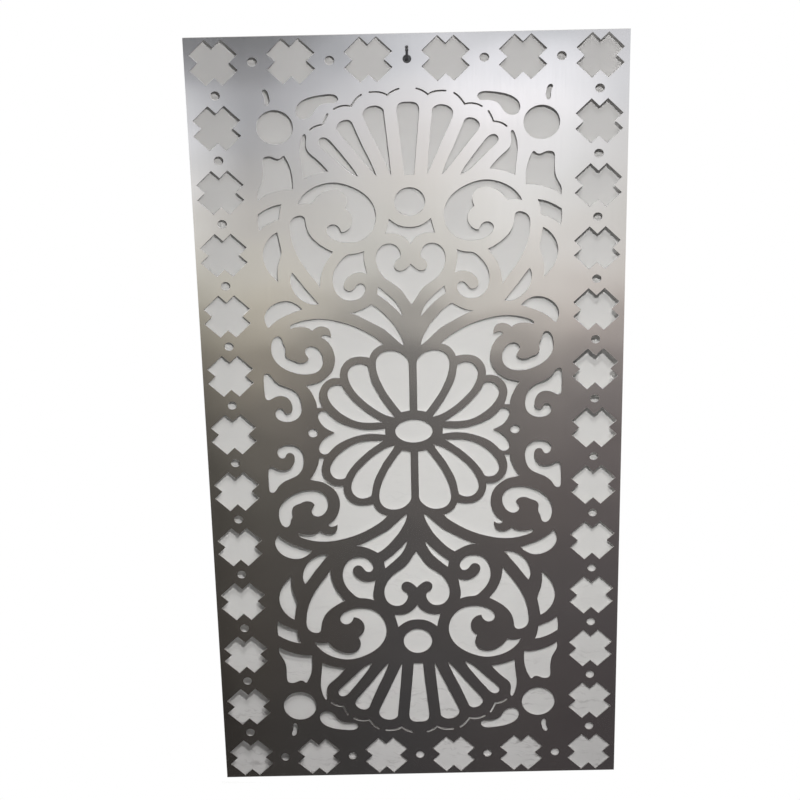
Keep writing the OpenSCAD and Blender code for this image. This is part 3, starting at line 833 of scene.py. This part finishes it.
def wallLook():
    # white beside the sheet, plaster seen through its openings with painted shade at its top and bottom, and
    # clear from behind
    material, look = newLook("stageWall")
    place = placeOf(look)
    x, y, z = axesOf(look, place)
    rays = look.add("ShaderNodeLightPath")
    lowShare, lowShift = wall["plasterLow"]
    highShare, highShift = wall["plasterHigh"]
    inside = (abs(x) < wall["plasterX"]) * (z + y * lowShare > cadLow.z + lowShift)
    inside = inside * (z + y * highShare < cadHigh.z + highShift)
    trowel = noise(look, place, wall["trowel"], 4.0, 0.6)
    # painted shade: the plaster is painted darker towards the top and the bottom, mixed with the trowel's
    # tone changes
    top, bottom = rising(z, *wall["paintedShadeTop"]), falling(z, *wall["paintedShadeBottom"])
    atTop, atBottom, byTrowel = wall["shadeAndTrowelAmounts"]
    dull = limited(top * atTop + bottom * atBottom + swing(trowel, byTrowel))
    shown = mixColours(look, dull, (*wall["light"], 1), (*wall["dull"], 1))
    crook = noise(look, place, wall["crook"], 3.0, 0.6)
    slanted = look.add("ShaderNodeCombineXYZ", None,
                       {"X": x, "Y": y, "Z": z + crook * wall["crookAmount"] + x * wall["strokeSlant"]})
    stroke = noise(look, slanted, wall["stroke"], 5.0, 0.7)
    patch = noise(look, place, wall["patch"], 2.0)
    lowDown = falling(z, *wall["moreBelow"]) * wall["moreAmount"] + (1 - wall["moreAmount"])
    marks = rising(stroke, *wall["strokeFrom"]) * rising(patch, *wall["patchFrom"])
    marks = marks * falling(z, *wall["marksBelow"]) * lowDown
    shown = mixColours(look, marks * wall["markAmount"], shown, (*wall["mark"], 1))
    plaster = look.add("ShaderNodeBsdfDiffuse", None, {"Color": shown})
    white = look.add("ShaderNodeEmission", None, {"Color": (1, 1, 1, 1), "Strength": 1.0})
    glossy, shadow = rays.out("Is Glossy Ray"), rays.out("Is Shadow Ray")
    seen = limited(rays.out("Is Camera Ray") + glossy + rays.out("Is Transmission Ray"))
    front = look.add("ShaderNodeMixShader", None, {0: seen * (1 - inside), 1: plaster, 2: white})
    # light from behind reaches the object's back, but not the gap in front of the wall
    clear = look.add("ShaderNodeBsdfTransparent")
    behind = look.add("ShaderNodeNewGeometry", None, None, "Backfacing")
    first = rays.out("Diffuse Depth") < 0.5
    solid = (1 - behind) * (1 - limited(glossy + shadow) * first)
    surface = look.add("ShaderNodeMixShader", None, {0: solid, 1: clear, 2: front})
    look.add("ShaderNodeOutputMaterial", None, {"Surface": surface})
    return material


def shareOf(value, start, length):
    # how much of a change is done at this value, from 0 to 1
    return min(max((value - start) / length, 0.0), 1.0)


def wallDepth(x, z):
    # close to the sheet's middle, and further back at its lower left and its right
    lowDown, highUp = shareOf(z, *wall["lowDown"]), shareOf(z, *wall["highUp"])
    left, lower = wall["leftBack"]
    right, more = wall["rightBack"]
    height, half = wall["rightMiddle"]
    leftward = shareOf(x, *wall["leftward"]) ** wall["leftCurve"] * (left + lower * lowDown)
    rightEdge = right * shareOf(z, *wall["rightUp"]) + more / (1 + ((z - height) / half) ** 2)
    rightward = shareOf(x, *wall["rightward"]) ** wall["rightCurve"] * rightEdge
    return (wall["closest"] + leftward + rightward * (1 - wall["rightLess"] * highUp)
            + (wall["depth"] - wall["closest"]) * highUp)


def flatPiece(left, right, low, high, depth):
    return [(left, depth, low), (right, depth, low), (right, depth, high), (left, depth, high)]


def makeWall():
    # the pieces lie a little over each other, and as each is flat, none of them shows edge on
    span, reach, over = wall["span"], wall["piecesX"], wall["overlap"]
    low, high = wall["piecesLow"], wall["piecesHigh"]
    across, along = round(2 * reach / wall["pieceSize"]), round((high - low) / wall["pieceSize"])
    wide, tall = reach / across, (high - low) / along / 2
    around = [(-span, span, floor["height"], low), (-span, span, high, span),
              (-span, -reach, low, high), (reach, span, low, high)]
    corners = [corner for sides in around for corner in flatPiece(*sides, wall["depth"])]
    for i in range(across):
        for k in range(along):
            x, z = -reach + wide * (2 * i + 1), low + tall * (2 * k + 1)
            corners += flatPiece(x - wide - over, x + wide + over, z - tall - over, z + tall + over,
                                 wallDepth(x, z))
    faces = [range(k, k + 4) for k in range(0, len(corners), 4)]
    plate("stageWallPlate", corners, wallLook(), faces)


floor = {
    "height": -2.62,
    "colour": (0.82, 0.82, 0.81),
    "roughness": 0.9,
    "lift": (0.7, 0.7, 0.7),
    "near": 1.0,  # the floor turns white between these distances
    "far": 5.5,
}


def floorLook():
    # a pale floor that the camera sees brighter than the lamps make it, up to white further off
    material, look = newLook("stageFloor")
    x, y, _ = axesOf(look, placeOf(look))
    away = (x * x + y * y) ** 0.5
    far = limited((away - floor["near"]) / (floor["far"] - floor["near"]))
    rays = look.add("ShaderNodeLightPath")
    lift = mixColours(look, far, (*floor["lift"], 1), (1, 1, 1, 1))
    lift = mixColours(look, rays.out("Is Camera Ray"), (0, 0, 0, 1), lift)
    shade(look, {"Base Color": (*floor["colour"], 1), "Roughness": floor["roughness"],
                 "Emission Color": lift, "Emission Strength": 1.0})
    return material


def makeFloor():
    span, low = wall["span"], floor["height"]
    corners = [(-span, -span, low), (span, -span, low), (span, span, low), (-span, span, low)]
    plate("stageFloorPlate", corners, floorLook())


# two graded cards, before the sheet and behind it, that only reflections show
card = {
    "away": 0.75,
    "side": 2.4,
    "low": -2.6,
    "high": 0.0,
    # height on the card and the light there: dim low down, a warm edge, and pale above it
    "levels": [
        (-2.60, (0.050, 0.046, 0.045)),
        (-1.60, (0.062, 0.057, 0.056)),
        (-1.30, (0.094, 0.086, 0.082)),
        (-1.05, (0.150, 0.138, 0.128)),
        (-0.87, (0.240, 0.222, 0.205)),
        (-0.80, (0.400, 0.370, 0.325)),
        (-0.72, (0.780, 0.735, 0.650)),
        (-0.62, (0.880, 0.860, 0.810)),
        (-0.45, (0.920, 0.920, 0.930)),
        (-0.32, (1.020, 1.040, 1.110)),
        (-0.20, (0.480, 0.500, 0.530)),
    ],
    # bends that lift the edge: middle across, half width, how much
    "bends": [
        (0.0, 0.08, 0.095),
        (0.38, 0.06, 0.08),
        (-0.3, 0.08, -0.012),
    ],
    # above the edge: stripes and a glint by middle and half width, edges by place and slope
    "upper": (-0.7, 5.0),
    "upperLevel": 0.76,
    "brightStripe": (0.17, 0.14),
    "brightAmount": 0.55,
    "dimStripe": (-0.276, 0.05),
    "dimHeight": (-0.4, 0.11),
    "dimAmounts": (0.68, -0.1),  # at that height, and all along
    "glintAcross": (0.27, 0.07),
    "glintHeight": (-0.33, 0.06),
    "glintAmount": 0.35,
    "leftEdge": (-0.32, 9.0),
    "leftAmount": 0.9,
    "cornerUp": (-0.34, 9.0),
    "cornerLeft": (-0.05, 4.0),
    "cornerAmount": 0.75,
    # below the edge
    "lowerLean": 0.6,
    "lowerEdge": (-0.3, 8.0),
    "lowerAmount": 0.3,
    # brighter and dimmer spots: middle across and up, half width and height, how much
    "spots": [
        (-0.17, -0.66, 0.09, 0.05, 0.27),
        (-0.275, -0.85, 0.035, 0.09, 0.45),
        (-0.15, -0.815, 0.05, 0.045, -0.42),
        (0.125, -0.73, 0.05, 0.03, 0.5),
        (0.155, -0.8, 0.035, 0.03, -0.3),
        (0.19, -0.405, 0.06, 0.05, -0.2),
        (0.34, -0.245, 0.04, 0.03, -0.2),
        (-0.14, -0.31, 0.1, 0.045, 0.14),
        (0.13, -0.31, 0.12, 0.045, 0.16),
        (0.06, -1.4, 0.14, 0.2, 0.16),
        (-0.35, -1.38, 0.04, 0.15, 0.4),
        (0.0, -0.24, 0.05, 0.03, -0.15),
    ],
    # tints of the lower part, at the left, at the right and in a stripe near the middle
    "warm": (1.0, 0.99, 0.9),
    "cool": (0.98, 0.94, 1.0),
    "tintSlope": 1.5,
    "plain": (0.93, 0.975, 1.03),
    "plainStripe": (-0.02, 0.1),
    "plainAmount": 0.9,
    # patches all over
    "patch": (0.2, 0.2, 0.12),
    "patchContrast": 4.0,
    "rosy": (1.03, 0.99, 0.98),
    "bluish": (0.98, 1.0, 1.02),
}


def cardLook():
    material, look = newLook("stageCard")
    place = placeOf(look)
    x, _, z = axesOf(look, place)
    bent = z
    for middle, wide, lift in card["bends"]:
        bent = bent - hump(x, middle, wide) * lift
    reach = card["high"] - card["low"]
    stops = [((height - card["low"]) / reach, level) for height, level in card["levels"]]
    light = look.add("ShaderNodeValToRGB", {"stops": stops}, {"Fac": (bent - card["low"]) / reach})
    upper = rising(z, *card["upper"])
    atHeight, allAlong = card["dimAmounts"]
    dim = hump(x, *card["dimStripe"]) * (hump(z, *card["dimHeight"]) * atHeight + allAlong)
    glint = hump(x, *card["glintAcross"]) * hump(z, *card["glintHeight"]) * card["glintAmount"]
    stripes = card["upperLevel"] + hump(x, *card["brightStripe"]) * card["brightAmount"] - dim + glint
    stripes = stripes + falling(x, *card["leftEdge"]) * card["leftAmount"]
    corner = rising(z, *card["cornerUp"]) * falling(x, *card["cornerLeft"]) * card["cornerAmount"]
    lower = 1 + x * card["lowerLean"] - falling(x, *card["lowerEdge"]) * card["lowerAmount"]
    strength = (1 - upper) * lower + upper * stripes * (1 - corner)
    for spotX, spotZ, wide, tall, amount in card["spots"]:
        strength = strength * (1 + hump(x, spotX, wide) * hump(z, spotZ, tall) * amount)
    rightward = limited(x * card["tintSlope"] + 0.5)
    tint = mixColours(look, rightward, (*card["warm"], 1), (*card["cool"], 1))
    tint = mixColours(look, hump(x, *card["plainStripe"]) * card["plainAmount"], tint, (*card["plain"], 1))
    tint = mixColours(look, upper, tint, (1, 1, 1, 1))
    tinted = look.add("ShaderNodeVectorMath", {"operation": "MULTIPLY"}, {0: light, 1: tint})
    patch = noise(look, place, card["patch"], 2.0)
    patched = limited(swing(patch, card["patchContrast"]) + 0.5)
    patches = mixColours(look, patched, (*card["rosy"], 1), (*card["bluish"], 1))
    tinted = look.add("ShaderNodeVectorMath", {"operation": "MULTIPLY"}, {0: tinted, 1: patches})
    scaled = look.add("ShaderNodeVectorMath", {"operation": "SCALE"}, {0: tinted, "Scale": strength})
    glow = look.add("ShaderNodeEmission", None, {"Color": scaled, "Strength": 1.0})
    look.add("ShaderNodeOutputMaterial", None, {"Surface": glow})
    return material


def makeCards():
    side, low, high, glow = card["side"], card["low"], card["high"], cardLook()
    for name, away in (("stageFrontCard", -card["away"]), ("stageBackCard", card["away"])):
        made = plate(name, flatPiece(-side, side, low, high, away), glow)
        made.visible_camera = made.visible_diffuse = made.visible_shadow = made.visible_transmission = False


lamps = {
    "key": {"at": (0.26, -1.6, 1.2), "size": 0.07, "power": 9.7, "aim": (0, 0, -1.3), "spread": 90.0},
    "steep": {"at": (0.3, -1.7, 2.75), "size": 0.08, "power": 1.0, "aim": (0.05, 0, -1.1), "spread": 20.0},
    "lowFill": {"at": (0.5, -2.2, 0.2), "size": 0.3, "power": 0.16, "aim": (-0.3, 0, -1.2), "spread": 40.0},
}


def makeLamps():
    for name, lamp in lamps.items():
        data = bpy.data.lights.new(name, "AREA")
        data.shape, data.size, data.energy = "SQUARE", lamp["size"], lamp["power"]
        data.spread = math.radians(lamp["spread"])
        made = bpy.data.objects.new(name, data)
        made.location = lamp["at"]
        made.rotation_euler = (Vector(lamp["aim"]) - Vector(lamp["at"])).to_track_quat("-Z", "Y").to_euler()
        bpy.context.scene.collection.objects.link(made)


worldLevel = 0.16


def makeWorld():
    # white where it is seen or mirrored, and a low light on everything else
    world = bpy.data.worlds.new("studio")
    world.use_nodes = True
    bpy.context.scene.world = world
    look = Tree(world.node_tree)
    rays = look.add("ShaderNodeLightPath")
    mirrored = rays.math("MAXIMUM", rays.out("Is Glossy Ray"), rays.out("Is Transmission Ray"))
    seen = rays.math("MAXIMUM", rays.out("Is Camera Ray"), mirrored)
    level = worldLevel + seen * (1 - worldLevel)
    light = look.add("ShaderNodeBackground", None, {"Color": (1, 1, 1, 1), "Strength": level})
    look.add("ShaderNodeOutputWorld", None, {"Surface": light})


camera = {
    "at": (-0.0076, -3.237, 1.1276),
    "turn": (63.0681, 1.1147, -0.3597),
    "lens": 113.631,
    "sensor": 36,
    "clip": (0.05, 50),
}


def makeCamera():
    data = bpy.data.cameras.new("camera")
    data.lens, data.sensor_width = camera["lens"], camera["sensor"]
    data.clip_start, data.clip_end = camera["clip"]
    made = bpy.data.objects.new("camera", data)
    made.location = camera["at"]
    made.rotation_euler = [math.radians(a) for a in camera["turn"]]
    bpy.context.scene.collection.objects.link(made)
    bpy.context.scene.camera = made


makeWall()
makeFloor()
makeCards()
makeLamps()
makeWorld()
makeCamera()
bpy.context.scene.view_settings.view_transform = "Standard"
print("stage set")
